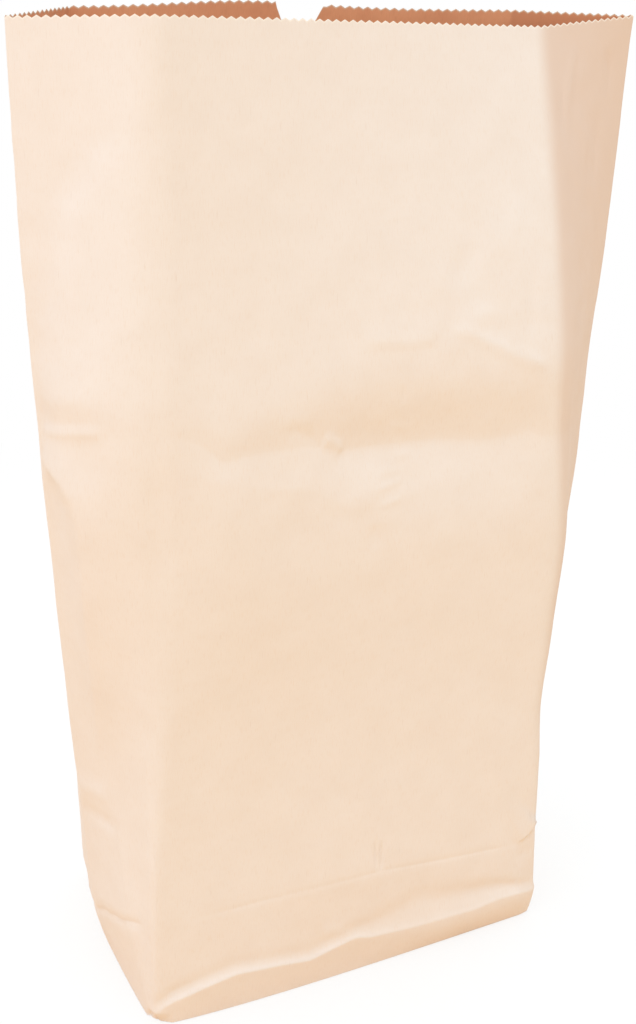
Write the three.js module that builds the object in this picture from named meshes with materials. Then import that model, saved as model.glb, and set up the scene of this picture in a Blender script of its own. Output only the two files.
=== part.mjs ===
import * as THREE from 'three';
import { LoftGeometry } from 'three/addons/geometries/LoftGeometry.js';
import { mergeGeometries, mergeVertices } from 'three/addons/utils/BufferGeometryUtils.js';

// Tall paper refuse bag, standing open. One sheet is folded into a tube with a wide front
// and back, two sides that each fold out along a centre crease, and a flat folded bottom.
// Millimetres, +Z up, front towards -Y, the middle of the bottom at the origin.

// The flat sheet
const panelWidth = 406.4;
const gussetDepth = 254;
const paperHeight = 889;
const paperThickness = 0.4;
const bottomThickness = 1.2;

// The cut edge of the mouth
const toothPitch = 8.4667;
const toothDepth = 2.2;
const rimBand = 12;

// Thumb notch in the middle of the back panel's edge
const notchWidth = 44;
const notchFloorWidth = 16;
const notchDepth = 28;
const notchMargin = 8;

// Plan of the bag at its waist, where it swells to the front
const waistHeight = 576;
const waistLeftDepth = 227;
const waistLeftShift = -20.6;
const waistRightDepth = 167;
const waistRightShift = -29;
const waistFrontShift = 17.5;
const waistBackShift = -2;

// Plan of the bag at its mouth, flatter and leaning to the right
const mouthLeftDepth = 192;
const mouthLeftShift = -5.4;
const mouthRightDepth = 48;
const mouthRightShift = 14;
const mouthFrontShift = 36;
const mouthBackShift = 30;

// The cut of the mouth isn't level: rise of the edge at each crease and in the back's left half
const riseFrontLeft = 1.5;
const riseFrontRight = -3;
const riseRight = 4.5;
const riseBackRight = -1;
const riseBackLeft = 1.5;
const riseLeft = -0.5;
const riseBackSwell = 6;
const riseReach = 300;

// Bulging edge just above the floor, the dent over it, and the crease of the folded bottom
const ridgeHeight = 30;
const ridgeOut = 4;
const dentHeight = 66;
const dentDepth = 4.5;
const creaseHeight = 99;
const creaseOut = 1.8;
const creaseFade = 150;
const cornerTuck = 7.5;
const cornerWidth = 13;

// Spread of the foot past the folded bottom at each crease, its swell between the creases,
// and the share of it that the wall keeps up to the crease of the folded bottom
const footFrontLeft = 7;
const footFrontRight = -0.5;
const footRight = 2;
const footBackRight = -1.5;
const footBackLeft = -1.5;
const footLeft = 5;
const footSwell = 1.5;
const footFrontSwell = 3.5;
const footKept = 0.6;

// The front's right crease bows out under the packing fold and in further down
const bowOutHeight = 400;
const bowOut = 7;
const bowOutReach = 80;
const bowInHeight = 236;
const bowIn = 4;
const bowInReach = 45;
const bowWidth = 120;

// Fold across the middle, from the bag having been packed folded in half
const foldHeightLeft = 556;
const foldHeightRight = 511;
const foldDepth = 6;
const foldReach = 46;

// Soft swelling of the wide panels under the fold
const bellyHeight = 280;
const bellyOut = 7;
const bellyReach = 190;

// Mesh columns on a wide panel and on half a side, and rows between the creases
const panelColumns = 18;
const halfSideColumns = 6;
const creaseSteps = 240;

const halfSide = gussetDepth / 2;
const perimeter = 2 * panelWidth + 2 * gussetDepth;

// Six panels in order around the tube, seen from above against the clock from the front left
const panels = [
	{ start: 0, width: panelWidth, columns: panelColumns, wide: true, front: true },
	{ start: panelWidth, width: halfSide, columns: halfSideColumns },
	{ start: panelWidth + halfSide, width: halfSide, columns: halfSideColumns },
	{ start: panelWidth + gussetDepth, width: panelWidth, columns: panelColumns, wide: true },
	{ start: 2 * panelWidth + gussetDepth, width: halfSide, columns: halfSideColumns },
	{ start: 2 * panelWidth + gussetDepth + halfSide, width: halfSide, columns: halfSideColumns },
];

// A size that eases from the base to the waist and then runs straight to the mouth
function stage( base, waist, mouth, height ) {

	const low = THREE.MathUtils.smoothstep( height, 0, waistHeight );
	const high = THREE.MathUtils.clamp( ( height - waistHeight ) / ( paperHeight - waistHeight ), 0, 1 );
	return THREE.MathUtils.lerp( THREE.MathUtils.lerp( base, waist, low ), mouth, high );

}

// Centre crease of a side: as far out as the two half widths of paper reach
function sideCentre( from, to ) {

	const span = new THREE.Vector2().subVectors( to, from );
	const reach = Math.sqrt( Math.max( halfSide ** 2 - span.lengthSq() / 4, 0 ) );
	const outward = new THREE.Vector2( span.y, - span.x ).normalize();
	return from.clone().add( to ).multiplyScalar( 0.5 ).addScaledVector( outward, reach );

}

// Plan of the six creases at a height up the paper
function plan( height ) {

	const leftDepth = Math.min( stage( gussetDepth, waistLeftDepth, mouthLeftDepth, height ), gussetDepth );
	const rightDepth = Math.min( stage( gussetDepth, waistRightDepth, mouthRightDepth, height ), gussetDepth );
	const leftShift = stage( 0, waistLeftShift, mouthLeftShift, height );
	const rightShift = stage( 0, waistRightShift, mouthRightShift, height );
	const frontShift = stage( 0, waistFrontShift, mouthFrontShift, height );
	const backShift = stage( 0, waistBackShift, mouthBackShift, height );
	const frontTurn = rightShift - rightDepth / 2 - leftShift + leftDepth / 2;
	const backTurn = rightShift + rightDepth / 2 - leftShift - leftDepth / 2;
	const frontHalf = Math.sqrt( panelWidth ** 2 - frontTurn ** 2 ) / 2;
	const backHalf = Math.sqrt( panelWidth ** 2 - backTurn ** 2 ) / 2;
	const frontLeft = new THREE.Vector2( frontShift - frontHalf, leftShift - leftDepth / 2 );
	const frontRight = new THREE.Vector2( frontShift + frontHalf, rightShift - rightDepth / 2 );
	const backRight = new THREE.Vector2( backShift + backHalf, rightShift + rightDepth / 2 );
	const backLeft = new THREE.Vector2( backShift - backHalf, leftShift + leftDepth / 2 );
	const right = sideCentre( frontRight, backRight );
	const left = sideCentre( backLeft, frontLeft );
	return [ frontLeft, frontRight, right, backRight, backLeft, left ];

}

// Each crease keeps its paper's length, so it rises less where it leans
function raiseCreases() {

	const step = paperHeight / creaseSteps;
	let below = plan( 0 );
	const creases = below.map( ( point ) => [ new THREE.Vector3( point.x, point.y, 0 ) ] );
	for ( let i = 1; i <= creaseSteps; i ++ ) {

		const here = plan( i * step );
		creases.forEach( ( crease, k ) => {

			const lean = here[ k ].distanceTo( below[ k ] );
			const rise = Math.sqrt( Math.max( step ** 2 - lean ** 2, 0 ) );
			crease.push( new THREE.Vector3( here[ k ].x, here[ k ].y, crease[ i - 1 ].z + rise ) );

		} );
		below = here;

	}

	return creases;

}

const creases = raiseCreases();

function creasePoint( index, height ) {

	const place = THREE.MathUtils.clamp( height / paperHeight, 0, 1 ) * creaseSteps;
	const low = Math.min( Math.floor( place ), creaseSteps - 1 );
	const crease = creases[ index % panels.length ];
	return crease[ low ].clone().lerp( crease[ low + 1 ], place - low );

}

function panelAt( distance ) {

	const along = THREE.MathUtils.euclideanModulo( distance, perimeter );
	const index = panels.findLastIndex( ( panel ) => along >= panel.start - 1e-6 );
	const share = THREE.MathUtils.clamp( ( along - panels[ index ].start ) / panels[ index ].width, 0, 1 );
	return { index, share, panel: panels[ index ] };

}

// Height of the packing fold, which slants across the front and the back
function foldHeight( distance ) {

	const { index, share } = panelAt( distance );
	const leftness = [ 1 - share, 0, 0, share, 1, 1 ][ index ];
	return THREE.MathUtils.lerp( foldHeightRight, foldHeightLeft, leftness );

}

// How much higher or lower than its crease the paper stands near the mouth
function rise( distance, height ) {

	const { index, share } = panelAt( distance );
	const rises = [ riseFrontLeft, riseFrontRight, riseRight, riseBackRight, riseBackLeft, riseLeft ];
	const level = THREE.MathUtils.lerp( rises[ index ], rises[ ( index + 1 ) % rises.length ], share );
	const swell = index === 3 ? riseBackSwell * Math.sin( Math.PI * share ** 1.6 ) : 0;
	return ( level + swell ) * THREE.MathUtils.smoothstep( height, paperHeight - riseReach, paperHeight );

}

// How far the foot of the bag spreads past the folded bottom
function foot( index, share ) {

	const feet = [ footFrontLeft, footFrontRight, footRight, footBackRight, footBackLeft, footLeft ];
	const level = THREE.MathUtils.lerp( feet[ index ], feet[ ( index + 1 ) % feet.length ], share );
	const swell = index === 0 ? footFrontSwell : footSwell;
	return level + swell * Math.sin( Math.PI * share ** 0.75 );

}

// Bow of the front's right crease, which dies away along the panels beside it
function bow( distance, height ) {

	const near = Math.max( 1 - Math.abs( distance - panels[ 1 ].start ) / bowWidth, 0 );
	const high = Math.exp( - ( ( ( height - bowOutHeight ) / bowOutReach ) ** 2 ) );
	const low = Math.exp( - ( ( ( height - bowInHeight ) / bowInReach ) ** 2 ) );
	return near * ( bowOut * high - bowIn * low );

}

// How far the paper stands out from the flat panel between its creases
function relief( distance, height ) {

	const { index, share, panel } = panelAt( distance );
	const arch = Math.sin( Math.PI * share );
	const rightward = panel.front ? share : 0.5;
	const swell = 0.4 + 0.6 * arch;
	const spread = foot( index, share );
	const knots = [
		[ 0, spread ],
		[ ridgeHeight, spread + ridgeOut * swell ],
		[ dentHeight, spread * footKept - dentDepth * rightward * swell ],
		[ creaseHeight, spread * footKept + creaseOut * swell ],
		[ creaseHeight + creaseFade, 0 ],
	];
	const next = knots.findIndex( ( knot ) => height < knot[ 0 ] );
	let out = bow( distance, height );
	if ( next > 0 ) {

		const [ lowHeight, lowOut ] = knots[ next - 1 ];
		const [ highHeight, highOut ] = knots[ next ];
		out += THREE.MathUtils.mapLinear( height, lowHeight, highHeight, lowOut, highOut );

	}

	const fromFold = Math.abs( height - foldHeight( distance ) ) / foldReach;
	out -= foldDepth * Math.max( 1 - fromFold, 0 ) * arch * ( 0.5 + 0.5 * rightward );
	if ( panel.wide ) {

		out += bellyOut * arch * Math.exp( - ( ( ( height - bellyHeight ) / bellyReach ) ** 2 ) );

	}

	return out;

}

function outwardOf( index, height ) {

	const from = creasePoint( index, height );
	const to = creasePoint( index + 1, height );
	return new THREE.Vector3( to.y - from.y, from.x - to.x, 0 ).normalize();

}

// Point of the outer face, by distance around the tube and height up the paper.
// At a crease the two panels' ways out are joined, so that both panels meet there.
function paperPoint( distance, height ) {

	const { index, share } = panelAt( distance );
	const point = creasePoint( index, height ).lerp( creasePoint( index + 1, height ), share );
	point.z += rise( distance, height );
	const fromCrease = Math.min( share, 1 - share ) * panels[ index ].width;
	const blend = THREE.MathUtils.clamp( fromCrease / cornerWidth, 0, 1 );
	const neighbour = share < 0.5 ? index + panels.length - 1 : index + 1;
	const own = outwardOf( index, height );
	const other = outwardOf( neighbour % panels.length, height );
	const way = own.clone().lerp( other, 0.5 * ( 1 - blend ) ).normalize();
	point.addScaledVector( way, relief( distance, height ) );
	const tuck = cornerTuck * ( 1 - blend ) * Math.max( 1 - height / ridgeHeight, 0 );
	return point.addScaledVector( way, own.dot( other ) < 0.5 ? - tuck : 0 );

}

// Point of the inner face: one paper thickness in from the panels on both sides of the point
function liningPoint( distance, height ) {

	const small = 0.5;
	const here = paperPoint( distance, height );
	const up = paperPoint( distance, Math.min( height + small, paperHeight ) );
	up.sub( paperPoint( distance, Math.max( height - small, 0 ) ) );
	const after = paperPoint( distance + small, height ).sub( here );
	const before = here.clone().sub( paperPoint( distance - small, height ) );
	const one = after.cross( up ).normalize();
	const two = before.cross( up ).normalize();
	const mitre = one.clone().add( two ).divideScalar( Math.max( 1 + one.dot( two ), 0.08 ) );
	return here.addScaledVector( mitre, - paperThickness );

}

// Columns around the tube: one on every crease, one close on each side of it, and even ones between
const columnPlaces = panels.flatMap( ( panel ) => Array.from( { length: panel.columns }, ( unused, i ) => {

	const even = ( i - 1 ) / ( panel.columns - 2 );
	const place = i === 0 ? 0 : THREE.MathUtils.lerp( cornerWidth, panel.width - cornerWidth, even );
	return panel.start + place;

} ) );

const notchCentre = panels[ 3 ].start + panelWidth / 2;

// Height where the plain wall ends and the strip that carries the teeth and the notch begins
function shoulderHeight( distance ) {

	const column = panelWidth / panelColumns;
	const reach = notchWidth / 2 + column;
	const near = THREE.MathUtils.clamp( ( reach - Math.abs( distance - notchCentre ) ) / column, 0, 1 );
	return paperHeight - THREE.MathUtils.lerp( rimBand, notchDepth + notchMargin, near );

}

// Row lines up the wall, each a height for every distance around, and the rows up to it
const rowLines = [
	{ at: () => 0, rows: 0 },
	{ at: () => ridgeHeight, rows: 2 },
	{ at: () => dentHeight, rows: 2 },
	{ at: () => creaseHeight, rows: 1 },
	{ at: () => creaseHeight + creaseFade, rows: 2 },
	{ at: ( distance ) => foldHeight( distance ) - foldReach, rows: 8 },
	{ at: foldHeight, rows: 1 },
	{ at: ( distance ) => foldHeight( distance ) + foldReach, rows: 1 },
	{ at: shoulderHeight, rows: 8 },
];

function wallRings( pointAt ) {

	const rings = [];
	rowLines.forEach( ( line, n ) => {

		const below = rowLines[ Math.max( n - 1, 0 ) ];
		for ( let i = 1; i <= Math.max( line.rows, 1 ); i ++ ) {

			const share = i / Math.max( line.rows, 1 );
			rings.push( columnPlaces.map( ( distance ) => pointAt(
				distance,
				THREE.MathUtils.lerp( below.at( distance ), line.at( distance ), share ),
			) ) );

		}

	} );
	return rings;

}

// Outline of the mouth: teeth all round, and the thumb notch cut clean through them
function mouthOutline() {

	const outline = [];
	panels.forEach( ( panel, n ) => {

		const teeth = Math.max( Math.round( panel.width / toothPitch ), 1 );
		const pitch = panel.width / teeth;
		for ( let i = 0; i < teeth; i ++ ) {

			outline.push( { distance: panel.start + i * pitch, height: paperHeight - toothDepth } );
			outline.push( { distance: panel.start + ( i + 0.5 ) * pitch, height: paperHeight } );

		}

		if ( n === 3 ) {

			const half = notchWidth / 2;
			const floorHalf = notchFloorWidth / 2;
			const side = new THREE.CubicBezierCurve(
				new THREE.Vector2( - half, - toothDepth ),
				new THREE.Vector2( - ( half + floorHalf ) / 2, - notchDepth * 0.55 ),
				new THREE.Vector2( - floorHalf - 3, - notchDepth ),
				new THREE.Vector2( - floorHalf + 4, - notchDepth ),
			).getPoints( 6 );
			const mirrored = side.map( ( point ) => new THREE.Vector2( - point.x, point.y ) ).reverse();
			side.concat( mirrored ).forEach( ( point ) => outline.push( {
				distance: notchCentre + point.x,
				height: paperHeight + point.y,
				notch: true,
			} ) );

		}

	} );
	const kept = outline.filter( ( point ) => point.notch
		|| Math.abs( point.distance - notchCentre ) > notchWidth / 2 + 0.5 );
	return kept.sort( ( a, b ) => a.distance - b.distance );

}

// Strip of triangles between two closed lines, one with few points and one with many
function zipper( lowPlaces, highPlaces ) {

	const lowCount = lowPlaces.length;
	const highCount = highPlaces.length;
	const triangles = [];
	let low = 0;
	let high = 0;
	while ( low < lowCount || high < highCount ) {

		const lowNext = low + 1 < lowCount ? lowPlaces[ low + 1 ] : perimeter;
		const highNext = high + 1 < highCount ? highPlaces[ high + 1 ] : perimeter;
		const lowMiddle = ( lowPlaces[ low % lowCount ] + lowNext ) / 2;
		const stepHigh = low >= lowCount || ( high < highCount && highNext <= lowMiddle + 1e-6 );
		const stepOnto = stepHigh || ( low > 0 && high < highCount && highNext < lowNext - 1e-6
			&& highPlaces[ high ] < lowPlaces[ low ] );
		const a = low % lowCount;
		const b = lowCount + high % highCount;
		if ( stepOnto ) {

			triangles.push( a, lowCount + ( high + 1 ) % highCount, b );
			high += 1;

		} else {

			triangles.push( a, ( low + 1 ) % lowCount, b );
			low += 1;

		}

	}

	return triangles;

}

function indexed( points, triangles ) {

	const geometry = new THREE.BufferGeometry().setFromPoints( points );
	geometry.setIndex( triangles );
	return geometry;

}

function flipped( geometry ) {

	const turned = new THREE.BufferGeometry().copy( geometry );
	const index = Array.from( geometry.index.array );
	turned.setIndex( index.map( ( unused, i ) => index[ i - i % 3 + 2 - i % 3 ] ) );
	return turned;

}

function bare( geometry ) {

	geometry.deleteAttribute( 'normal' );
	geometry.deleteAttribute( 'uv' );
	return geometry;

}

function buildBag() {

	const outerRings = wallRings( paperPoint );
	const innerRings = wallRings( liningPoint );
	outerRings[ 0 ].forEach( ( point ) => point.setZ( 0 ) );
	innerRings[ 0 ].forEach( ( point ) => point.setZ( bottomThickness ) );
	const outerWall = new LoftGeometry( outerRings, { closed: true, capStart: true } );
	const innerWall = new LoftGeometry( innerRings, { closed: true, capStart: true } );
	const outline = mouthOutline();
	const outerEdge = outline.map( ( point ) => paperPoint( point.distance, point.height ) );
	const innerEdge = outline.map( ( point ) => liningPoint( point.distance, point.height ) );
	const strip = zipper( columnPlaces, outline.map( ( point ) => point.distance ) );
	const outerStrip = indexed( outerRings.at( - 1 ).concat( outerEdge ), strip );
	const innerStrip = indexed( innerRings.at( - 1 ).concat( innerEdge ), strip );
	const count = outline.length;
	const cutFace = outline.flatMap( ( unused, i ) => {

		const next = ( i + 1 ) % count;
		return [ i, next, count + next, i, count + next, count + i ];

	} );
	const cutEdge = indexed( outerEdge.concat( innerEdge ), cutFace );
	const faces = [ outerWall, flipped( innerWall ), outerStrip, flipped( innerStrip ), cutEdge ];
	const bag = mergeVertices( mergeGeometries( faces.map( bare ) ), 1e-4 );
	bag.computeVertexNormals();
	return bag;

}

const kraftPaper = new THREE.MeshStandardMaterial( { color: '#f0d9c0', roughness: 0.82, metalness: 0 } );

const bag = new THREE.Mesh( buildBag(), kraftPaper );
bag.name = 'paper_bag';

const part = new THREE.Group();
part.add( bag );

export default part;
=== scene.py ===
import math
import bpy
import numpy as np
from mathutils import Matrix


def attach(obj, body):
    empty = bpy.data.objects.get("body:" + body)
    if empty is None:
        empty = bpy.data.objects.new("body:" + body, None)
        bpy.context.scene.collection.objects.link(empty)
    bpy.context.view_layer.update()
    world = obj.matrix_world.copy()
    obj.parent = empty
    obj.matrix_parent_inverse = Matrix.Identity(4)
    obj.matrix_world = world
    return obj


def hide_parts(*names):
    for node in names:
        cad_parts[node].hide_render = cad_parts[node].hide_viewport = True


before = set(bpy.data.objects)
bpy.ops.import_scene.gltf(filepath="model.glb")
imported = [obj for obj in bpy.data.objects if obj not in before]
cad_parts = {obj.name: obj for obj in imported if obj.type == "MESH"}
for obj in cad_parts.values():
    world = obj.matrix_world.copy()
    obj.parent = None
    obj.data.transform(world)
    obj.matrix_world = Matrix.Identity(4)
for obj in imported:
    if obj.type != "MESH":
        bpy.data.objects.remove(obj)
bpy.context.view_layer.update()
print("frame loaded")


def linearColour(hexCode):  # sRGB hex to linear red, green and blue by the sRGB curve, with full alpha
    srgb = np.array([int(hexCode[i:i + 2], 16) for i in (1, 3, 5)]) / 255
    linear = np.where(srgb <= 0.04045, srgb / 12.92, ((srgb + 0.055) / 1.055) ** 2.4)
    return (*linear.tolist(), 1.0)


def easeBetween(value, low, high):  # 0 below low, 1 above high, an even S between them
    x = np.clip((value - low) / (high - low), 0, 1)
    return x * x * (3 - 2 * x)


def bell(value, centre, below, above=None):  # 1 at the centre, 1/e one reach below or above it
    reach = below if above is None else np.where(value > centre, above, below)
    return np.exp(-((value - centre) / reach) ** 2)


# The flat sheet and the plan of the standing bag in millimetres. At the waist and the mouth, a side has
# its depth and its shift to the back, and front and back have their shifts to the right. The rises lift
# the mouth at the six creases and on the back panel, where place and width are shares of the panel
bag = dict(
    panelWidth=406.4, sideDepth=254.0, paperHeight=889.0, paperThickness=0.4, bottomThickness=1.2,
    waistHeight=576.0, waistSoftness=22.0, creaseSteps=480,
    waistLeft=(227.0, -20.6), waistRight=(167.0, -29.0), waistFront=17.5, waistBack=-2.0,
    mouthLeft=(192.0, -5.4), mouthRight=(48.0, 14.0), mouthFront=36.0, mouthBack=30.0,
    mouthRises=(1.5, -3.0, 4.5, -1.0, 1.5, -0.5), riseReach=300.0,
    riseBackSwell=6.0, riseBackPlace=0.62, riseBackWidth=0.22,
    toothPitch=8.4667, toothDepth=2.2,
)

metre = 1000  # millimetres
width, halfSide, tall = bag["panelWidth"], bag["sideDepth"] / 2, bag["paperHeight"]
panelWidths = np.array([width, halfSide, halfSide, width, halfSide, halfSide])
panelStarts = np.concatenate([[0], np.cumsum(panelWidths)[:-1]])
perimeter, panelCount = panelWidths.sum(), len(panelWidths)
front, rightSide, back = 0, 1, 3  # panels, counted from the front round by the right, as creases are


# Eases from the base to the waist, then runs straight to the mouth, and the bend at the waist is round
def staged(base, waist, mouth, height):
    soft = bag["waistSoftness"]
    low = base + (waist - base) * easeBetween(height, 0, bag["waistHeight"])
    past = height - bag["waistHeight"]
    bend = np.where(np.abs(past) < soft, (past + soft) ** 2 / (4 * soft), np.maximum(past, 0))
    return low + (mouth - waist) * bend / (tall - bag["waistHeight"])


# Centre crease of a side: the corner of a triangle whose two legs are the side's half widths
def sideCentre(start, end):
    span = end - start
    length = np.linalg.norm(span, axis=-1, keepdims=True)
    outward = np.stack([span[:, 1], -span[:, 0]], -1) / length
    return (start + end) / 2 + outward * np.sqrt(np.maximum(halfSide ** 2 - length ** 2 / 4, 0))


# The six creases as polylines. Each rises by what its paper length leaves after its lean
def raiseCreases():
    height = np.linspace(0, tall, bag["creaseSteps"] + 1)
    deep = bag["sideDepth"]
    leftDepth = np.minimum(staged(deep, bag["waistLeft"][0], bag["mouthLeft"][0], height), deep)
    rightDepth = np.minimum(staged(deep, bag["waistRight"][0], bag["mouthRight"][0], height), deep)
    leftShift = staged(0, bag["waistLeft"][1], bag["mouthLeft"][1], height)
    rightShift = staged(0, bag["waistRight"][1], bag["mouthRight"][1], height)
    frontShift = staged(0, bag["waistFront"], bag["mouthFront"], height)
    backShift = staged(0, bag["waistBack"], bag["mouthBack"], height)
    leftFront, leftBack = leftShift - leftDepth / 2, leftShift + leftDepth / 2
    rightFront, rightBack = rightShift - rightDepth / 2, rightShift + rightDepth / 2
    frontHalf = np.sqrt(width ** 2 - (rightFront - leftFront) ** 2) / 2
    backHalf = np.sqrt(width ** 2 - (rightBack - leftBack) ** 2) / 2
    frontLeft = np.stack([frontShift - frontHalf, leftFront], -1)
    frontRight = np.stack([frontShift + frontHalf, rightFront], -1)
    backRight = np.stack([backShift + backHalf, rightBack], -1)
    backLeft = np.stack([backShift - backHalf, leftBack], -1)
    plan = [frontLeft, frontRight, sideCentre(frontRight, backRight),
            backRight, backLeft, sideCentre(backLeft, frontLeft)]
    raised = []
    for line in plan:
        lean = np.linalg.norm(np.diff(line, axis=0), axis=1)
        climb = np.sqrt(np.maximum((tall / bag["creaseSteps"]) ** 2 - lean ** 2, 0))
        raised.append(np.column_stack([line, np.concatenate([[0], np.cumsum(climb)])]))
    return np.stack(raised)


creases = raiseCreases()


def creaseAt(index, up):  # points of the creases at heights up the paper
    place = np.clip(up / tall, 0, 1) * bag["creaseSteps"]
    low = np.minimum(place.astype(int), bag["creaseSteps"] - 1)
    part = (place - low)[..., None]
    return creases[index % panelCount, low] * (1 - part) + creases[index % panelCount, low + 1] * part


# Panel number and share of its width for distances round the tube; a crease counts to the panel after it
def panelOf(around, hair=1e-9):
    wrapped = np.mod(around, perimeter)
    index = np.clip(np.searchsorted(panelStarts, wrapped + hair, side="right") - 1, 0, panelCount - 1)
    return index, np.clip((wrapped - panelStarts[index]) / panelWidths[index], 0, 1)


def fromFrontLeft(around):  # signed distance from the front left crease, front positive, left side negative
    wrapped = np.mod(around, perimeter)
    return np.where(wrapped > perimeter / 2, wrapped - perimeter, wrapped)


def betweenCreases(values, index, share):  # values that are given at the six creases, straight between them
    values = np.array(values)
    return values[index] * (1 - share) + values[(index + 1) % panelCount] * share


# Radius of the creases in their order round the bag, at six heights up the paper, and the bow of the
# front's right crease
roundHeights = (60.0, 170.0, 300.0, 560.0, 740.0, 889.0)
creaseRadius = dict(
    frontLeft=(3.0, 6.0, 20.0, 24.0, 26.0, 18.0), frontRight=(4.5, 11.0, 17.0, 40.0, 18.0, 5.0),
    rightCentre=(5.0, 7.0, 7.0, 3.0, 3.0, 3.0), backRight=(5.0, 7.0, 7.0, 3.0, 3.0, 3.0),
    backLeft=(5.0, 6.0, 6.0, 3.0, 3.0, 3.0), leftCentre=(4.0, 5.0, 5.0, 3.0, 3.0, 3.0),
)
rightBow = dict(outHeight=415.0, out=7.2, outReach=90.0, inHeight=236.0, inwards=3.9, inReach=45.0,
                width=100.0)


# The folded tube before any relief: straight between creases, and near a crease the corner is a
# parabola that leaves each panel's straight line one radius away from the crease. The rises lift it
# towards the mouth, and the front's right crease bows out and, lower down, in
def flatPaper(around, up):
    index, share = panelOf(around)
    start, end = creaseAt(index, up), creaseAt(index + 1, up)
    point = start * (1 - share[..., None]) + end * share[..., None]
    roundness = [np.interp(up, roundHeights, radii) for radii in creaseRadius.values()]
    for step in (0, 1):
        corner = (index + step) % panelCount
        radius = np.choose(corner, roundness)
        here, before, after = creaseAt(corner, up), creaseAt(corner - 1, up), creaseAt(corner + 1, up)
        away = (share - step) * panelWidths[index]
        part = np.clip((away + radius) / (2 * radius), 0, 1)
        towardsBefore = (before - here) / panelWidths[corner - 1][..., None]
        towardsAfter = (after - here) / panelWidths[corner][..., None]
        turned = here + ((1 - part) ** 2 * radius)[..., None] * towardsBefore \
            + (part ** 2 * radius)[..., None] * towardsAfter
        point = np.where((np.abs(away) < radius)[..., None], turned, point)
    backSwell = bag["riseBackSwell"] * bell(share, bag["riseBackPlace"], bag["riseBackWidth"])
    level = betweenCreases(bag["mouthRises"], index, share) + np.where(index == back, backSwell, 0)
    point[..., 2] += level * easeBetween(up, tall - bag["riseReach"], tall)
    fromCrease = np.abs(np.mod(around, perimeter) - panelStarts[rightSide])
    bowed = rightBow["out"] * bell(up, rightBow["outHeight"], rightBow["outReach"]) \
        - rightBow["inwards"] * bell(up, rightBow["inHeight"], rightBow["inReach"])
    point[..., 0] += (1 - easeBetween(fromCrease, 0, rightBow["width"])) * bowed
    return point


def outwardOf(around, up, step=6.0):  # unit normals of the folded tube, from short steps round it and up it
    across = flatPaper(around + step, up) - flatPaper(around - step, up)
    along = flatPaper(around, np.minimum(up + step, tall)) - flatPaper(around, np.maximum(up - step, 0))
    way = np.cross(across, along)
    return way / np.linalg.norm(way, axis=-1, keepdims=True)


# Smooth random field: a sum of plane waves, about one in size, with lengths that are shares of the scale
def waveField(points, scale, seed, count=28, lengths=(0.7, 1.5)):
    rng = np.random.default_rng(seed)
    heading = rng.normal(size=(count, 3))
    heading /= np.linalg.norm(heading, axis=1, keepdims=True)
    turn = 2 * np.pi / (scale * rng.uniform(*lengths, count))
    phase = rng.uniform(0, 2 * np.pi, count)
    return np.cos(points @ (heading * turn[:, None]).T + phase).sum(-1) / math.sqrt(count / 2)


# Lines of the foot round the bag, as (distance from the front left crease, height up the paper or amount)
footLines = dict(
    ridge=((-660.4, 28), (-457, 31), (-254, 20), (-190, 14), (-127, 12), (-12, 12), (0, 14), (7, 22),
           (14, 26), (40, 33.5), (55, 37), (75, 40.5), (118, 36.5), (150, 32), (178, 39), (198, 43),
           (206, 41), (214, 38.5), (265, 35), (330, 34), (360, 36.5), (385, 35), (406, 29), (470, 30),
           (533, 28), (600, 31), (660.4, 28)),
    ridgeOut=((-660.4, 3), (-457, 4.5), (-254, 1.5), (-230, 0), (0, 0), (8, 2), (25, 3.6), (60, 4.6),
              (150, 5), (200, 6), (265, 8), (330, 10), (385, 9), (406, 3), (450, 3.5), (533, 2),
              (600, 4), (660.4, 3)),
    curlFade=((-660.4, 5), (0, 2), (150, 2.4), (200, 3), (265, 6), (406.4, 6), (660.4, 5)),
    dent=((-660.4, 1.5), (-457, 2.2), (-254, 0.5), (-230, 0), (-8, 0), (0, 1.2), (14, 2.2), (40, 1.3),
          (75, 0.8), (150, 0.8), (198, 1.2), (265, 1.6), (330, 2.4), (370, 2.4), (390, 1.6),
          (406.4, 0.4), (470, 2.2), (533.4, 1), (600, 2.2), (660.4, 1.5)),
    dentAbove=((-660.4, 20), (-127, 18), (0, 8), (14, 7.5), (75, 9.5), (150, 8.5), (200, 10),
               (265, 27), (330, 20), (385, 8), (406.4, 8), (533.4, 18), (660.4, 20)),
    dentWide=((-660.4, 12), (-127, 10), (0, 6), (150, 6.5), (200, 7), (265, 13), (330, 10), (385, 5),
              (406.4, 5), (533.4, 11), (660.4, 12)),
    bottomCrease=((-660.4, 100), (-460, 104), (-270, 50), (-254, 34), (-152, 44), (-92, 73), (-62, 85),
                  (-33, 97), (-14, 102), (0, 109), (52, 111), (140, 112), (222, 110), (269, 104),
                  (345, 96), (378, 92), (395, 99), (406.4, 109), (460, 98), (533, 95), (600, 102),
                  (660.4, 100)),
    creaseOut=((-660.4, 0.7), (-457, 1.8), (-254, 0.7), (-190, 1.2), (-127, 0.7), (-60, 1.2), (0, 0.5),
               (40, 0.6), (100, 2.2), (200, 6.5), (366, 5), (406.4, 0), (470, 1.5), (533, 0.7),
               (600, 1.5), (660.4, 0.7)),
    groove=((-660.4, 0), (30, 0), (52, 0.2), (80, 0.5), (120, 0.35), (150, 0.45), (269, 0.6),
            (345, 0.5), (372, 0.15), (384, 0), (660.4, 0)),
)

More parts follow.
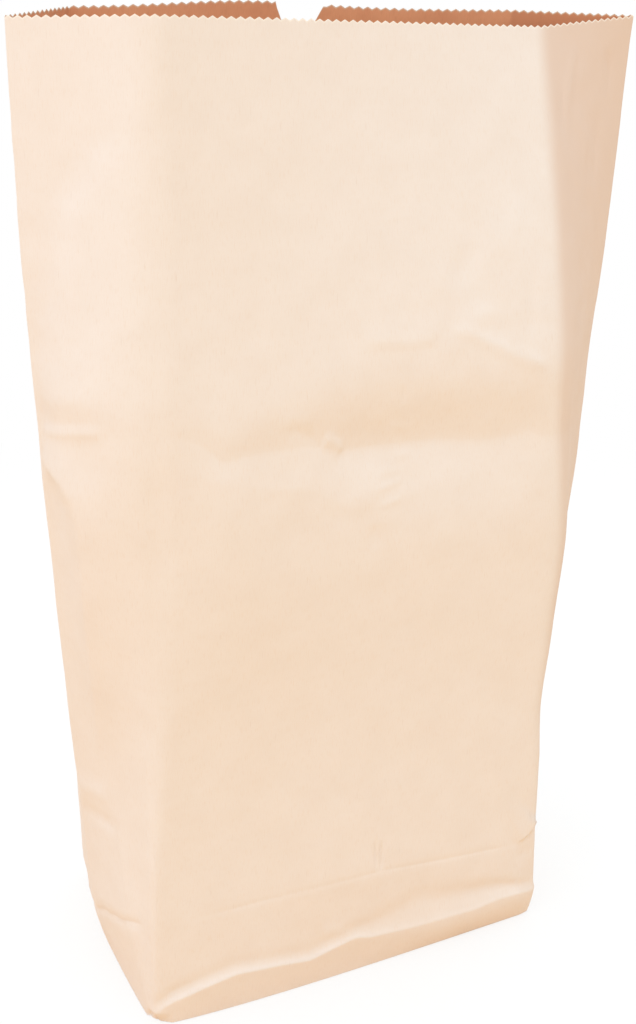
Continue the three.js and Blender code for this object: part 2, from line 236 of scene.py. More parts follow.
# Spread of the foot at the six creases, the share of it that the bottom's crease keeps, the swelling of
# the panels, and the forms of ridge, crease and groove
foot = dict(
    spread=(4.0, 1.6, 2.0, -1.5, -1.5, 5.0), kept=0.8, swell=1.5, frontSwell=6.8, frontLean=0.6,
    ridgeCurl=2.4, curlFullFrom=4.0, ridgeRounding=0.8, roundedAcross=(190.0, 300.0),
    creaseFade=210.0, fadePower=1.6, grooveWidth=1.7, groovePower=1.5,
)

# Tuck of the base at the six creases, and how wide and high it is
baseTuck = dict(depth=(7.5, 2.5, 0.0, 6.0, 8.0, 0.0), width=(13.0, 13.0, 1.0, 13.0, 24.0, 1.0),
                height=(12.0, 28.0, 1.0, 24.0, 24.0, 1.0))


def alongLines(lines, across):  # values of lines round the bag, straight between their corners
    return {name: np.interp(across, *np.array(corners, float).T) for name, corners in lines.items()}


# The foot runs from the base out to the ridge, straight at the left and rounded at the right, drops
# back over the ridge's short curl, passes the dent to the bottom's crease with its fine groove, and
# then dies away
def footRelief(index, share, across, up):
    at = alongLines(footLines, across)
    frontArch = foot["frontSwell"] * np.sin(np.pi * share ** foot["frontLean"])
    arch = np.where(index == front, frontArch, foot["swell"] * np.sin(np.pi * share))
    spread = betweenCreases(foot["spread"], index, share) + arch
    over, past = np.maximum(up - at["ridge"], 0), up - at["bottomCrease"]
    atRidge = spread + at["ridgeOut"]
    atCrease = spread * foot["kept"] + at["creaseOut"]
    power = 1 + foot["ridgeRounding"] * easeBetween(across, *foot["roundedAcross"])
    low = spread + at["ridgeOut"] * (1 - np.clip(1 - up / at["ridge"], 0, 1) ** power)
    curl = foot["ridgeCurl"] * np.minimum(at["ridgeOut"] / foot["curlFullFrom"], 1)
    part = np.clip(over / (at["bottomCrease"] - at["ridge"]), 0, 1)
    middle = atRidge - curl + (atCrease - atRidge + curl) * part + curl * np.exp(-over / at["curlFade"]) \
        - at["dent"] * bell(over, at["dentAbove"], at["dentWide"])
    high = atCrease * np.clip(1 - past / foot["creaseFade"], 0, 1) ** foot["fadePower"]
    groove = at["groove"] * np.exp(-(np.abs(past) / foot["grooveWidth"]) ** foot["groovePower"])
    return np.where(up < at["ridge"], low, np.where(past < 0, middle, high)) - groove


# The base's corners are tucked in, evenly less up the crease and away from it
def tuckRelief(index, share, up):
    fromCrease = np.minimum(share, 1 - share) * panelWidths[index]
    nearest = np.where(share < 0.5, index, index + 1) % panelCount
    depth, wide, high = (np.array(baseTuck[name])[nearest] for name in ("depth", "width", "height"))
    return -depth * np.clip(1 - fromCrease / wide, 0, 1) * np.clip(1 - up / high, 0, 1)


# Soft swellings: the belly of both wide panels, the front's left shoulder, and the left side's front
# half with a dent in it
belly = dict(height=420.0, out=6.0, reachBelow=230.0, reachAbove=72.0)
shoulder = dict(across=62.0, height=486.0, out=6.6, start=65.0, reachAcross=85.0, reachBelow=150.0,
                reachAbove=70.0)
sideDent = dict(across=-120.0, height=410.0, out=-2.4, reachAcross=30.0, reachBelow=130.0, reachAbove=78.0)
sideSwell = dict(
    arc=((-100, 260), (-100, 609), (-98, 655), (-93, 687), (-80, 742), (-53, 778), (-32, 798)), edge=24.0,
    out=15.0, top=850.0, full=585.0, growth=1.15, fallFrom=530.0, end=260.0, creaseEase=(-10.0, 45.0),
)


def mound(form, across, up):  # a bell round a place on the sheet, with a reach of its own above and below
    upwards = bell(up, form["height"], form["reachBelow"], form["reachAbove"])
    return form["out"] * upwards * bell(across, form["across"], form["reachAcross"])


# The belly is an arch across times a bell upwards, shoulder and dent are bells both ways, and the left
# side's swelling grows from the top down to the packing fold, inside an arc, and falls away under it
def swellRelief(index, share, across, up):
    bellied = belly["out"] * np.sin(np.pi * share) \
        * bell(up, belly["height"], belly["reachBelow"], belly["reachAbove"])
    shouldered = easeBetween(across, 0, shoulder["start"]) * mound(shoulder, across, up)
    arcAcross = np.interp(up, *np.array(sideSwell["arc"], float).T[::-1])
    inside = easeBetween(across, arcAcross - sideSwell["edge"], arcAcross + sideSwell["edge"]) \
        * easeBetween(-across, *sideSwell["creaseEase"])
    fromTop = np.clip((sideSwell["top"] - up) / (sideSwell["top"] - sideSwell["full"]), 0, 1)
    swollen = sideSwell["out"] * inside * fromTop ** sideSwell["growth"] \
        * easeBetween(up, sideSwell["end"], sideSwell["fallFrom"])
    return np.where((index == front) | (index == back), bellied, 0) \
        + np.where(index == front, shouldered, 0) + swollen + mound(sideDent, across, up)


# Lines of the packing fold round the bag: its height, its depth, how soft its bottom is, and its reach
# above and below
foldLines = dict(
    packingFold=((-660.4, 512), (-254, 555), (-127, 558), (-89, 563), (-60, 568), (0, 574), (35, 565),
                 (46, 557), (61, 543), (75, 546), (103, 546), (132, 545), (151, 542), (175, 534),
                 (206, 533), (231, 531), (272, 529), (314, 521), (357, 520), (368, 523), (384, 517),
                 (406.4, 515), (533.4, 505), (660.4, 512)),
    depth=((-660.4, 2), (-457, 5), (-254, 2), (-190, 3), (-127, 0.3), (-64, 0.8), (0, 0.2), (40, 1.2),
           (61, 1.8), (80, 2.0), (103, 2.8), (125, 3.8), (146, 5.2), (170, 7.4), (200, 10.5),
           (265, 12), (300, 11.5), (340, 10.2), (366, 8.6), (388, 6.4), (406.4, 4), (470, 2.5),
           (533.4, 0.8), (600, 2.5), (660.4, 2)),
    soft=((-660.4, 5), (-254, 4), (-127, 2), (0, 2), (61, 2), (103, 3), (146, 2), (175, 4), (231, 5),
          (314, 5), (384, 4), (406.4, 5), (660.4, 5)),
    above=((-660.4, 60), (-254, 60), (-127, 40), (0, 30), (61, 22), (103, 34), (140, 56), (170, 76),
           (200, 90), (269, 94), (300, 108), (330, 122), (357, 150), (384, 210), (406.4, 200),
           (533.4, 60), (660.4, 60)),
    below=((-660.4, 100), (-127, 100), (0, 40), (61, 16), (92, 26), (119, 32), (152, 38), (169, 44),
           (206, 55), (265, 80), (330, 95), (400, 100), (660.4, 100)),
)
foldCurve = dict(leftPower=1.1, rightPower=2.0, turnsAcross=(120.0, 220.0))


# The packing fold is a valley with a rounded bottom, a facet over it that rises straight and then
# levels off, and a curve that runs out below it, more hollow at the right
def foldRelief(across, up):
    at = alongLines(foldLines, across)
    past = up - at["packingFold"]
    away = np.hypot(past, at["soft"]) - at["soft"]
    rise = np.clip(away / at["above"], 0, 1)
    facet = 1 - (4 * rise - rise ** 4) / 3
    turned = easeBetween(across, *foldCurve["turnsAcross"])
    power = foldCurve["leftPower"] + (foldCurve["rightPower"] - foldCurve["leftPower"]) * turned
    curve = np.clip(1 - away / at["below"], 0, 1) ** power
    return -at["depth"] * np.where(past > 0, facet, curve)


# Single folds and wrinkles: path, height out of the paper, reach at the left and at the right of the
# path, and the shares of the path over which its two ends fade. One that starts on the left side stops
# at its front crease
wrinkles = (
    # left side
    (((-32, 798), (-53, 778), (-68, 757), (-80, 742), (-87, 718), (-93, 687), (-103, 655), (-114, 609)),
     -0.8, 12, 9, (0.35, 0.3)),
    (((-127, 537), (-108, 533), (-86, 527), (-72, 513), (-66, 492), (-66, 451), (-72, 330), (-84, 210)),
     7.5, 30, 16, (0.05, 0.45)),
    (((-122, 562), (-95, 567), (-34, 576)), 1.8, 2.8, 6, (0.1, 0.2)),
    (((-127, 591), (-92, 593), (-55, 597), (-22, 594)), 3.6, 40, 18, (0.22, 0.35)),
    (((-127, 200), (-95, 208), (-63, 214)), 2.2, 7, 9, (0.1, 0.3)),
    (((-127, 172), (-93, 180), (-51, 188)), -2.0, 5, 6, (0.1, 0.3)),
    # the bottom's diagonal fold on the left side and the nick at its corner
    (((-224, 4), (-152, 39), (-92, 73), (-62, 85), (-33, 97), (-12, 102)), 7.0, 90, 62, (0.4, 0.12)),
    (((-205, 13), (-152, 39), (-120, 54), (-92, 73), (-78, 77), (-62, 85), (-48, 89), (-33, 97),
      (-14, 101)), -2.0, 3.4, 4.4, (0.1, 0.05)),
    (((-12, 0), (-6, 7), (0, 13)), -3.0, 1.7, 1.7, (0.05, 0.2)),
    # front, over the packing fold
    (((185, 628), (208, 624), (240, 620), (272, 621)), 1.3, 14, 4, (0.3, 0.2)),
    (((276, 628), (299, 622), (320, 612), (346, 599), (373, 587), (392, 578)), 1.9, 6, 6, (0.15, 0.2)),
    (((319, 699), (299, 684), (279, 671)), -1.5, 9, 9, (0.3, 0.3)),
    (((300, 672), (345, 700), (372, 735)), 1.5, 13, 16, (0.3, 0.3)),
    (((104, 570), (126, 568), (148, 566)), 0.7, 12, 5, (0.3, 0.3)),
    (((232, 585), (234, 567)), -0.7, 3, 3, (0.2, 0.3)),
    # crinkles at the packing fold
    (((118, 562), (136, 555), (150, 546)), -1.3, 7, 5, (0.3, 0.3)),
    (((155, 549), (164, 544), (175, 534)), 2.2, 4, 8, (0.15, 0.2)),
    (((202, 508), (221, 509), (242, 505)), 0.5, 3, 4, (0.3, 0.3)),
    (((198, 494), (217, 497), (240, 500)), 0.95, 2.6, 2.8, (0.35, 0.35)),
    (((204, 479), (218, 482), (234, 484)), 0.8, 2.6, 2.8, (0.35, 0.35)),
    (((193, 458), (202, 455), (216, 456)), -1.4, 4, 3, (0.2, 0.3)),
    (((218, 548), (232, 546), (248, 545)), 0.9, 2.5, 2.5, (0.2, 0.3)),
    (((226, 521), (233, 520), (243, 520)), 0.8, 2.5, 2.5, (0.2, 0.3)),
    # streaks on the right side's front half
    (((451, 868), (442, 833), (433, 803)), 1.6, 3, 4, (0.25, 0.3)),
    (((428, 837), (427, 811), (426, 785)), -1.4, 4, 4, (0.3, 0.3)),
    (((498, 863), (504, 841), (508, 820)), -1.6, 5, 4, (0.3, 0.3)),
    (((468, 790), (467, 772), (465, 750)), 1.4, 4, 4, (0.3, 0.3)),
    (((490, 793), (487, 765), (484, 733)), -1.2, 5, 5, (0.3, 0.3)),
    (((456, 708), (460, 685), (461, 663)), 1.3, 4, 4, (0.3, 0.3)),
    # front, at the foot
    (((380, 92), (395, 99), (406, 109)), 3.0, 24, 1.4, (0.35, 0.02)),
    (((378, 74), (392, 79), (404, 81)), -0.9, 5, 8, (0.3, 0.1)),
    (((216, 143), (219, 114)), -1.7, 1.7, 1.7, (0.2, 0.2)),
    (((223, 141), (224, 110)), -1.8, 1.7, 1.7, (0.2, 0.1)),
    (((253, 245), (256, 218)), -0.7, 2, 2, (0.3, 0.3)),
    (((160, 62), (186, 50), (198, 44)), 1.4, 10, 8, (0.3, 0.3)),
)
wrinkleForm = dict(power=1.4, creaseEase=(-1.0, 15.0))


# Distance to a polyline on the sheet, which side of it a point is on, and the share of the way along it
def nearPath(across, up, path):
    corners = np.array(path, float)
    lengths = np.hypot(*np.diff(corners, axis=0).T)
    near, side, along = np.full(across.shape, np.inf), np.ones(across.shape), np.zeros(across.shape)
    run = 0.0
    for (x, y), (dx, dy), length in zip(corners[:-1], np.diff(corners, axis=0), lengths):
        ahead = np.clip(((across - x) * dx + (up - y) * dy) / length, 0, length)
        miss = np.hypot(across - x - ahead * dx / length, up - y - ahead * dy / length)
        closer = miss < near
        side = np.where(closer, np.where(dx * (up - y) - dy * (across - x) < 0, -1, 1), side)
        along = np.where(closer, (run + ahead) / lengths.sum(), along)
        near = np.where(closer, miss, near)
        run += length
    return near, side, along


# Each wrinkle is highest on its path, falls off exponentially to both sides and fades at its ends
def wrinkleRelief(across, up):
    out = np.zeros(across.shape)
    for path, height, atLeft, atRight, (start, end) in wrinkles:
        miss, side, along = nearPath(across, up, path)
        fading = easeBetween(along, 0, start) * (1 - easeBetween(along, 1 - end, 1))
        if path[0][0] < 0:
            fading = fading * easeBetween(-across, *wrinkleForm["creaseEase"])
        reach = np.where(side > 0, atLeft, atRight)
        out = out + height * fading * np.exp(-(miss / reach) ** wrinkleForm["power"])
    return out


# Slight crumple of the whole sheet as waves of (length, depth, seed), none right at the base, and
# places that are crumpled more by a finer wave: across, up, reach across, reach up and depth
crumple = dict(
    waves=((90.0, 0.22, 3), (30.0, 0.07, 5)), fineLength=26.0, fineSeed=8, fullFrom=60.0,
    places=((320, 650, 95, 95, 0.26), (-112, 720, 24, 110, 0.22), (215, 490, 60, 45, 0.2),
            (465, 760, 45, 130, 0.35)),
)


# Outer face: the folded tube moved out along its own normals by all reliefs together and by the crumple
def paperFace(around, up):
    base, across = flatPaper(around, up), fromFrontLeft(around)
    index, share = panelOf(around)
    out = footRelief(index, share, across, up) + swellRelief(index, share, across, up) \
        + foldRelief(across, up) + wrinkleRelief(across, up) + tuckRelief(index, share, up)
    crumpled = sum(depth * waveField(base, length, seed) for length, depth, seed in crumple["waves"])
    fine = waveField(base, crumple["fineLength"], crumple["fineSeed"])
    for x, y, reachAcross, reachUp, depth in crumple["places"]:
        crumpled = crumpled + depth * fine * bell(across, x, reachAcross) * bell(up, y, reachUp)
    out = out + crumpled * easeBetween(up, 0, crumple["fullFrom"])
    return base + outwardOf(around, up) * out[..., None]


# Thumb notch in the back panel: each half is one cubic curve from the cut's edge down to the notch's
# floor, given by four corners as (distance from the notch's centre, depth). The shoulder is a share of
# the depth
notch = dict(width=44.0, floorWidth=16.0, depth=28.0, shoulder=0.55, roundOut=3.0, roundIn=4.0, steps=25)
notchCentre = panelStarts[back] + width / 2
notchCorners = np.array([
    (notch["width"] / 2, bag["toothDepth"]),
    ((notch["width"] + notch["floorWidth"]) / 4, notch["depth"] * notch["shoulder"]),
    (notch["floorWidth"] / 2 + notch["roundOut"], notch["depth"]),
    (notch["floorWidth"] / 2 - notch["roundIn"], notch["depth"]),
])
part = np.linspace(0, 1, notch["steps"])[:, None]
notchCurve = (1 - part) ** 3 * notchCorners[0] + 3 * part * (1 - part) ** 2 * notchCorners[1] \
    + 3 * part ** 2 * (1 - part) * notchCorners[2] + part ** 3 * notchCorners[3]
teethCounts = np.round(panelWidths / bag["toothPitch"])


def mouthHeight(around):  # height of the cut: a triangle wave of teeth, with the thumb notch let into it
    index, share = panelOf(around)
    cut = bag["toothDepth"] * np.abs(np.mod(share * teethCounts[index], 1) - 0.5) * 2
    fromNotch = np.abs(around - notchCentre)
    notched = np.interp(fromNotch, notchCurve[::-1, 0], notchCurve[::-1, 1])
    return tall - np.where(fromNotch < notch["width"] / 2, notched, cut)


# Grid of the sheet. Columns stand at each tip and valley of the teeth, beside the creases, across the
# notch and, where folds are fine, in spans of half teeth as (from, to, step). Guides of the rows are
# (line, distance over it, number of rows up to there), close together at each sharp line
grid = dict(
    fineSpans=((1.5, 6, 1), (25.5, 61, 1), (50.75, 53.5, 0.5), (88.5, 95, 1), (-2.5, -1, 1)),
    besideCreases=(-2.2, -0.9, 0.9, 2.2), notchMargin=0.5, digits=4, insideEvery=3,
    rows=(("ridge", -1.5, 9), ("ridge", 0, 1), ("ridge", 1.5, 1),
          ("bottomCrease", -1.2, 16), ("bottomCrease", 0, 1), ("bottomCrease", 1.2, 1), ("base", 250, 28),
          ("packingFold", -70, 24), ("packingFold", -1.5, 26), ("packingFold", 0, 1),
          ("packingFold", 1.5, 1), ("packingFold", 130, 32),
          ("top", -48, 20), ("mouth", -2, 8), ("mouth", 0, 1)),
)
teethColumns = np.concatenate([start + wide * np.arange(2 * teeth) / (2 * teeth)
                               for start, wide, teeth in zip(panelStarts, panelWidths, teethCounts)])
fineSteps = np.concatenate([np.arange(*span) for span in grid["fineSpans"]])
fineColumns = np.mod(fineSteps * bag["toothPitch"] / 2, perimeter)
creaseColumns = np.mod((panelStarts[:, None] + np.array(grid["besideCreases"])).ravel(), perimeter)
outsideNotch = teethColumns[np.abs(teethColumns - notchCentre) > notch["width"] / 2 + grid["notchMargin"]]
insideNotch = notchCentre + np.concatenate([-notchCurve[::2, 0], notchCurve[::-2, 0]])
columns = np.concatenate([outsideNotch, fineColumns, creaseColumns, insideNotch])
columns = np.unique(np.round(columns, grid["digits"]))

# heights of all rows, even from guide to guide; the inside takes the guides and every third row between
mouthRow, acrossColumns = mouthHeight(columns), fromFrontLeft(columns)
rowLines = dict(base=np.zeros_like(columns), top=np.full_like(columns, tall), mouth=mouthRow,
                **alongLines(footLines, acrossColumns), **alongLines(foldLines, acrossColumns))
outerUp, insideRows = [rowLines["base"]], [0]
for name, over, count in grid["rows"]:
    below, line, first = outerUp[-1], rowLines[name] + over, len(outerUp)
    outerUp += [below + (line - below) * i / count for i in range(1, count + 1)]
    insideRows += [*range(first + 1, len(outerUp) - 1, grid["insideEvery"]), len(outerUp) - 1]
outerUp = np.stack(outerUp)
innerUp = outerUp[insideRows]
outerAround, innerAround = np.broadcast_to(columns, outerUp.shape), np.broadcast_to(columns, innerUp.shape)
outerPoints = paperFace(outerAround, outerUp)

# The two plies lie together at the cut, a little apart further down and furthest over the folded heel
plies = dict(gap=1.4, partFrom=3.0, partTo=30.0, heelGap=5.0, heelFrom=30.0, heelTo=70.0)
parted = easeBetween(mouthRow - innerUp, plies["partFrom"], plies["partTo"])
atHeel = 1 - easeBetween(innerUp, plies["heelFrom"], plies["heelTo"])
wall = bag["paperThickness"] + plies["gap"] * parted + plies["heelGap"] * atHeel
innerPoints = outerPoints[insideRows] - wall[..., None] * outwardOf(innerAround, innerUp)

# the outside hangs no lower than half its height up the paper, and the bottom is flat on both sides
outerPoints[..., 2] = np.maximum(outerPoints[..., 2], outerUp / 2)
outerPoints[0, :, 2] = 0
innerPoints[0, :, 2] = bag["bottomThickness"]
innerPoints[..., 2] = np.maximum(innerPoints[..., 2], bag["bottomThickness"])
print("bag surface worked out:", outerUp.shape, "outside,", innerUp.shape, "inside")

# Where shade is painted into the paper's colour: the right side, from its front crease to its back one,
# growing up the paper
paintedShadeSpread = dict(frontEdge=(-12.0, 12.0), backEdge=(-3.0, 1.0), heights=(140.0, 330.0, 560.0, 720.0, 889.0),
                 shares=(0.0, 0.68, 0.7, 0.92, 1.0))
meshing = dict(sharpAngle=55.0, bottomShift=-300.0)  # the bottom's place in the map is below the sheet


# One closed mesh: outside, inside, cut edge, and a flat face under and over the bottom
def buildBag():
    count, outerRows, innerRows = len(columns), len(outerUp), len(innerUp)
    outer = np.arange(outerRows * count).reshape(outerRows, count)
    inner = outer.size + np.arange(innerRows * count).reshape(innerRows, count)

    def quads(low, high):  # faces between rings and the rings over them, closed round
        return np.stack([low, np.roll(low, -1, -1), np.roll(high, -1, -1), high], -1).reshape(-1, 4)

    outside, inside = quads(outer[:-1], outer[1:]), quads(inner[:-1], inner[1:])[:, ::-1]
    cut = quads(outer[-1], inner[-1])
    faces = np.concatenate([outside, inside, cut])
    bottom = [outer[0][::-1], inner[0]]
    points = np.concatenate([outerPoints.reshape(-1, 3), innerPoints.reshape(-1, 3)]) / metre
    mesh = bpy.data.meshes.new("paperBag")
    mesh.from_pydata(points.tolist(), [], faces.tolist() + [ring.tolist() for ring in bottom])

    # real distances over the sheet in metres, so that patterns have their true size
    around, up = np.tile(columns, outerRows + innerRows), np.concatenate([outerUp.ravel(), innerUp.ravel()])
    corner = np.concatenate([faces.ravel(), *bottom])
    u, v = around[corner], up[corner]
    lastColumn = np.tile(np.arange(count) == count - 1, len(faces) // count)
    u[:faces.size] += np.where(np.repeat(lastColumn, 4) & (u[:faces.size] < perimeter / 2), perimeter, 0)
    u[faces.size:] = points[corner[faces.size:], 0] * metre
    v[faces.size:] = points[corner[faces.size:], 1] * metre + meshing["bottomShift"]
    sheet = mesh.uv_layers.new(name="sheet")
    sheet.data.foreach_set("uv", (np.stack([u, v], -1) / metre).ravel())

    # distance from the cut and share of the painted shade, for the material
    fromCut = np.concatenate([(mouthRow - outerUp).ravel(), (mouthRow - innerUp).ravel()])
    pastFront = easeBetween(around - panelStarts[rightSide], *paintedShadeSpread["frontEdge"])
    pastBack = easeBetween(around - panelStarts[back], *paintedShadeSpread["backEdge"])
    browner = pastFront * (1 - pastBack) * np.interp(up, paintedShadeSpread["heights"], paintedShadeSpread["shares"])
    for name, values in (("fromCut", fromCut), ("browner", browner)):
        mesh.attributes.new(name, "FLOAT", "POINT").data.foreach_set("value", values)

    # material slots: 0 outside, 1 inside, 2 cut edge
    slots = np.concatenate([np.zeros(len(outside)), np.ones(len(inside)), np.full(len(cut), 2), [0, 1]])
    mesh.polygons.foreach_set("material_index", slots.astype(np.int32))
    mesh.polygons.foreach_set("use_smooth", np.ones(len(slots), bool))
    mesh.set_sharp_from_angle(angle=math.radians(meshing["sharpAngle"]))
    mesh.update()
    piece = bpy.data.objects.new("paperBag", mesh)
    bpy.context.collection.objects.link(piece)
    return piece


paperBag = buildBag()
print("bag mesh built:", len(paperBag.data.polygons), "faces")


# Adds one node with its settings. An input is a value or a node's output, and in6 is input number 6
def addNode(tree, kind, settings=None, **inputs):
    node = tree.nodes.new(kind)
    for name, value in (settings or {}).items():
        setattr(node, name, value)
    for name, value in inputs.items():
        numbered = name.startswith("in") and name[2:].isdigit()
        socket = node.inputs[int(name[2:]) if numbered else name]
        if isinstance(value, bpy.types.NodeSocket):
            tree.links.new(value, socket)
        else:
            socket.default_value = value
    return node


def newMaterial(name):  # an empty material and its node tree
    material = bpy.data.materials.new(name)
    material.use_nodes = True
    material.node_tree.nodes.clear()
    return material, material.node_tree


# Unbleached kraft paper, machine finished: matt, faintly cloudy, with fibres that run up the bag, a few
# dark slivers of bark and a paler, frayed line along the cut; shade is painted on the right side fold,
# browner towards the mouth. Sizes and the frayed range are in millimetres, and speck gives the cell that
# holds one sliver. Fibres are drawn in bundles 1 mm wide, since single ones are too fine to show
kraftSizes = dict(cloud=38.0, fibreAcross=1.0, fibreAlong=9.0, speckAcross=20.0, speckAlong=120.0,
                  grain=1.3)
kraftShares = dict(cloudRange=(0.35, 0.68), fibreRange=(0.52, 0.78), fibre=0.32, speckRange=(0.012, 0.04),
                   speck=0.07, frayRange=(0.2, 1.6), fray=0.9, smoother=0.08, rougher=0.12)
# the third colour of each paper is painted shade, laid on the right side fold
outsidePaper = dict(pale="#F2E7E0", deep="#F0E4DC", browner="#E4CDBE", fibreDark="#E8D0BC", speck="#BC9778",
                    frayed="#FBF4EA", roughness=0.62)
insidePaper = dict(pale="#E9A377", deep="#DE966C", browner="#D78F66", fibreDark="#C58558", speck="#8B5C38",
                   frayed="#EBD3B8", roughness=0.75)


# Shades are laid over the pale one in turn, each by its own share: clouds, the painted shade of the right
# side, fibres, slivers and the frayed cut
def kraftPaper(name, look):
    material, tree = newMaterial(name)
    scale = {pattern: metre / size for pattern, size in kraftSizes.items()}
    sheet = addNode(tree, "ShaderNodeUVMap", {"uv_map": "sheet"}).outputs["UV"]
    cloud = addNode(tree, "ShaderNodeTexNoise", Vector=sheet, Scale=scale["cloud"], Detail=4.0,
                    Roughness=0.6)
    grain = addNode(tree, "ShaderNodeTexNoise", Vector=sheet, Scale=scale["grain"], Detail=3.0,
                    Roughness=0.65)
    longWays = addNode(tree, "ShaderNodeMapping", Vector=sheet,
                       Scale=(scale["fibreAcross"], scale["fibreAlong"], 1))
    fibre = addNode(tree, "ShaderNodeTexNoise", Vector=longWays.outputs[0], Scale=1.0, Detail=2.0,
                    Roughness=0.7)
    drawn = addNode(tree, "ShaderNodeMapping", Vector=sheet,
                    Scale=(scale["speckAcross"], scale["speckAlong"], 1))
    cells = addNode(tree, "ShaderNodeTexVoronoi", {"feature": "F1", "voronoi_dimensions": "2D"},
                    Vector=drawn.outputs[0], Scale=1.0, Randomness=1.0)
    fromCut = addNode(tree, "ShaderNodeAttribute", {"attribute_name": "fromCut"})
    browner = addNode(tree, "ShaderNodeAttribute", {"attribute_name": "browner"})

    # share of each shade: what it follows, from which value to which, and the share at both ends
    follows = dict(
        deep=(cloud.outputs[0], kraftShares["cloudRange"], 0.0, 1.0),
        # painted shade on the right side fold, darker towards the mouth
        browner=(browner.outputs["Fac"], (0.0, 1.0), 0.0, 1.0),
        fibreDark=(fibre.outputs[0], kraftShares["fibreRange"], 0.0, kraftShares["fibre"]),
        speck=(cells.outputs["Distance"], kraftShares["speckRange"], kraftShares["speck"], 0.0),
        frayed=(fromCut.outputs["Fac"], kraftShares["frayRange"], kraftShares["fray"], 0.0),
    )
    colour = linearColour(look["pale"])
    for shade, (source, (low, high), shareLow, shareHigh) in follows.items():
        share = addNode(tree, "ShaderNodeMapRange", Value=source,
                        **{"From Min": low, "From Max": high, "To Min": shareLow, "To Max": shareHigh})
        colour = addNode(tree, "ShaderNodeMix", {"data_type": "RGBA"}, Factor=share.outputs[0],
                         in6=colour, in7=linearColour(look[shade])).outputs[2]
    rough = addNode(tree, "ShaderNodeMapRange", Value=cloud.outputs[0],
                    **{"To Min": look["roughness"] - kraftShares["smoother"],
                       "To Max": look["roughness"] + kraftShares["rougher"]})
    fineBump = addNode(tree, "ShaderNodeBump", Strength=0.12, Distance=0.0003, Height=grain.outputs[0])
    fibreBump = addNode(tree, "ShaderNodeBump", Strength=0.15, Distance=0.0004, Height=fibre.outputs[0],
                        Normal=fineBump.outputs[0])
    paper = addNode(tree, "ShaderNodeBsdfPrincipled", Roughness=rough.outputs[0], IOR=1.5,
                    Normal=fibreBump.outputs[0], **{"Base Color": colour, "Specular IOR Level": 0.35})
    addNode(tree, "ShaderNodeOutputMaterial", Surface=paper.outputs[0])
    return material


# Torn pulp of the cut edge: whitish, rough and broken up by fibre ends, drawn 0.9 mm wide so that they show
pulpLook = dict(pale="#FBF2E6", deep="#EED9C2", fibreEnd=0.9, roughness=0.9)


def cutPulp(name, look):
    material, tree = newMaterial(name)
    place = addNode(tree, "ShaderNodeTexCoord").outputs["Object"]
    ends = addNode(tree, "ShaderNodeTexNoise", Vector=place, Scale=metre / look["fibreEnd"], Detail=2.0)
    shade = addNode(tree, "ShaderNodeMix", {"data_type": "RGBA"}, Factor=ends.outputs[0],
                    in6=linearColour(look["pale"]), in7=linearColour(look["deep"]))
    pulp = addNode(tree, "ShaderNodeBsdfPrincipled", Roughness=look["roughness"], IOR=1.5,
                   **{"Base Color": shade.outputs[2], "Specular IOR Level": 0.2})
    addNode(tree, "ShaderNodeOutputMaterial", Surface=pulp.outputs[0])
    return material


paperBag.data.materials.append(kraftPaper("kraftPaperOutside", outsidePaper))
paperBag.data.materials.append(kraftPaper("kraftPaperInside", insidePaper))
paperBag.data.materials.append(cutPulp("cutKraftPulp", pulpLook))
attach(paperBag, "root")
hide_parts("paper_bag")
print("paper finished")


# Floor that is white to the eye and keeps the shadow, a white surround that is brighter from the front
# left, a soft lamp from there and a weak blue one from the left. Sizes are in metres
studio = dict(
    floorSize=12.0, floorDrop=0.0006, floorPaint="#E8B669", white="#FFFFFF", shadowShare=0.28,
    clearFrom=0.5, clearTo=1.6, worldTint="#F7FDFF", worldLight=1.12, brightWay=(-0.74, -0.62, 0.26),
    brightShare=0.17, aim=(0.03, 0.0, 0.45),
    lamps=dict(keyLight=dict(place=(-4.9, -3.4, 3.2), size=2.2, power=16.0, tint="#E9EFFF"),
               sideLight=dict(place=(-5.0, 0.6, 1.0), size=3.0, power=12.0, tint="#6F9DFF")),
)


def seenWhite(tree):  # 1 for what is seen directly, in a gloss or through glass, 0 for soft light
    ray = addNode(tree, "ShaderNodeLightPath").outputs
    mirrored = addNode(tree, "ShaderNodeMath", {"operation": "MAXIMUM"},
                       in0=ray["Is Glossy Ray"], in1=ray["Is Transmission Ray"])
    return addNode(tree, "ShaderNodeMath", {"operation": "MAXIMUM"},
                   in0=ray["Is Camera Ray"], in1=mirrored.outputs[0]).outputs[0]


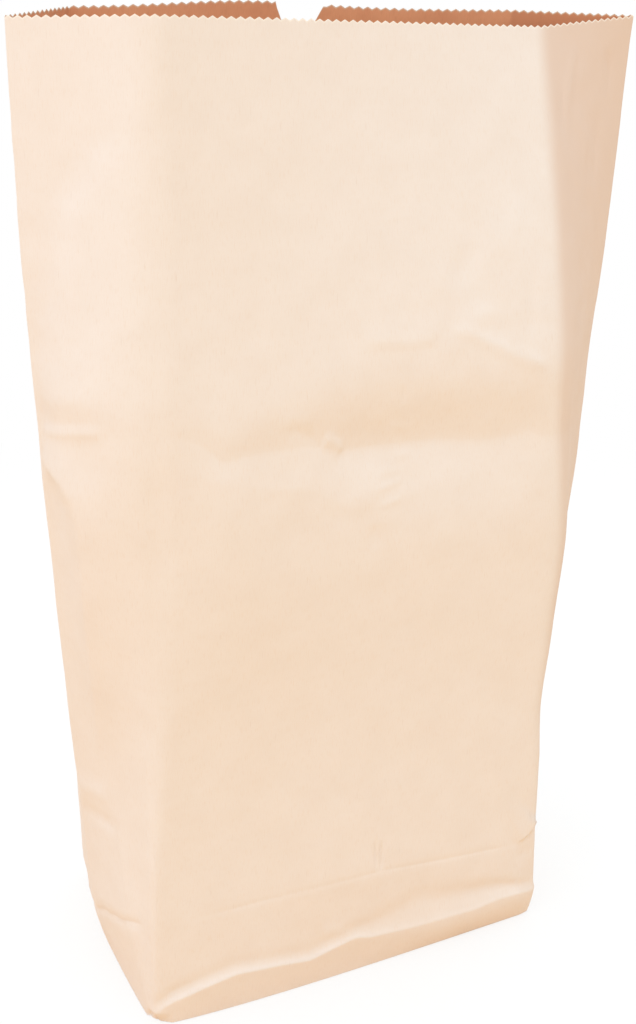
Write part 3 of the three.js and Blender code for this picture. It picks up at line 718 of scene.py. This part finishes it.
# The floor is painted for soft light. What is seen of it is part white paint, which takes the shadow,
# and part glow, which is all that is left away from the bag
def buildFloor():
    half, down = studio["floorSize"] / 2, -studio["floorDrop"]
    mesh = bpy.data.meshes.new("studioFloor")
    mesh.from_pydata([(-half, -half, down), (half, -half, down), (half, half, down), (-half, half, down)],
                     [], [(0, 1, 2, 3)])
    floor = bpy.data.objects.new("studioFloor", mesh)
    bpy.context.collection.objects.link(floor)
    material, tree = newMaterial("paintedFloor")
    paint = addNode(tree, "ShaderNodeBsdfDiffuse", Color=linearColour(studio["floorPaint"]))
    white = addNode(tree, "ShaderNodeBsdfDiffuse", Color=linearColour(studio["white"]))
    glow = addNode(tree, "ShaderNodeEmission", Color=linearColour(studio["white"]), Strength=1.0)
    place = addNode(tree, "ShaderNodeTexCoord").outputs["Object"]
    away = addNode(tree, "ShaderNodeVectorMath", {"operation": "LENGTH"}, in0=place)
    share = addNode(tree, "ShaderNodeMapRange", {"interpolation_type": "SMOOTHSTEP"},
                    Value=away.outputs["Value"],
                    **{"From Min": studio["clearFrom"], "From Max": studio["clearTo"],
                       "To Min": 1 - studio["shadowShare"], "To Max": 1.0})
    shown = addNode(tree, "ShaderNodeMixShader", in0=share.outputs[0], in1=white.outputs[0],
                    in2=glow.outputs[0])
    mixed = addNode(tree, "ShaderNodeMixShader", in0=seenWhite(tree), in1=paint.outputs[0],
                    in2=shown.outputs[0])
    addNode(tree, "ShaderNodeOutputMaterial", Surface=mixed.outputs[0])
    mesh.materials.append(material)


# The surround's soft light grows evenly towards its bright way. What is seen of it is plain white
def buildSurround():
    world = bpy.data.worlds.new("studioWorld")
    bpy.context.scene.world = world
    world.use_nodes = True
    tree = world.node_tree
    tree.nodes.clear()
    way = addNode(tree, "ShaderNodeTexCoord").outputs["Generated"]
    towards = addNode(tree, "ShaderNodeVectorMath", {"operation": "DOT_PRODUCT"}, in0=way,
                      in1=studio["brightWay"])
    strength = addNode(tree, "ShaderNodeMath", {"operation": "MULTIPLY_ADD"}, in0=towards.outputs["Value"],
                       in1=studio["worldLight"] * studio["brightShare"], in2=studio["worldLight"])
    light = addNode(tree, "ShaderNodeBackground", Color=linearColour(studio["worldTint"]),
                    Strength=strength.outputs[0])
    white = addNode(tree, "ShaderNodeBackground", Color=linearColour(studio["white"]), Strength=1.0)
    mixed = addNode(tree, "ShaderNodeMixShader", in0=seenWhite(tree), in1=light.outputs[0],
                    in2=white.outputs[0])
    addNode(tree, "ShaderNodeOutputWorld", Surface=mixed.outputs[0])


def hangLamps():  # square lamps, each turned to face the aim
    for name, look in studio["lamps"].items():
        lamp = bpy.data.lights.new(name, "AREA")
        lamp.energy, lamp.size, lamp.color = look["power"], look["size"], linearColour(look["tint"])[:3]
        holder = bpy.data.objects.new(name, lamp)
        bpy.context.collection.objects.link(holder)
        way = np.array(studio["aim"]) - np.array(look["place"])
        way = way / np.linalg.norm(way)
        holder.location = look["place"]
        holder.rotation_euler = (math.acos(-way[2]), 0, math.atan2(way[1], way[0]) - math.pi / 2)


buildFloor()
buildSurround()
hangLamps()

# Camera of the photograph, level and unshifted: 50 mm on a 36 mm frame, tilted down 21 degrees
view = dict(place=(-0.5041, -1.1591, 0.9284), tiltDown=21.40, turn=-24.28, focalPixels=1425.0,
            imageHeight=1024.0, sensor=36.0, clipFrom=0.05, clipTo=60.0)
lens = bpy.data.cameras.new("photoCamera")
lens.sensor_fit, lens.sensor_width = "AUTO", view["sensor"]
lens.lens = view["sensor"] * view["focalPixels"] / view["imageHeight"]
lens.clip_start, lens.clip_end = view["clipFrom"], view["clipTo"]
camera = bpy.data.objects.new("photoCamera", lens)
bpy.context.collection.objects.link(camera)
camera.location = view["place"]
camera.rotation_euler = (math.radians(90 - view["tiltDown"]), 0, math.radians(view["turn"]))
bpy.context.scene.camera = camera
bpy.context.scene.view_settings.view_transform = "Standard"
print("studio and camera set")
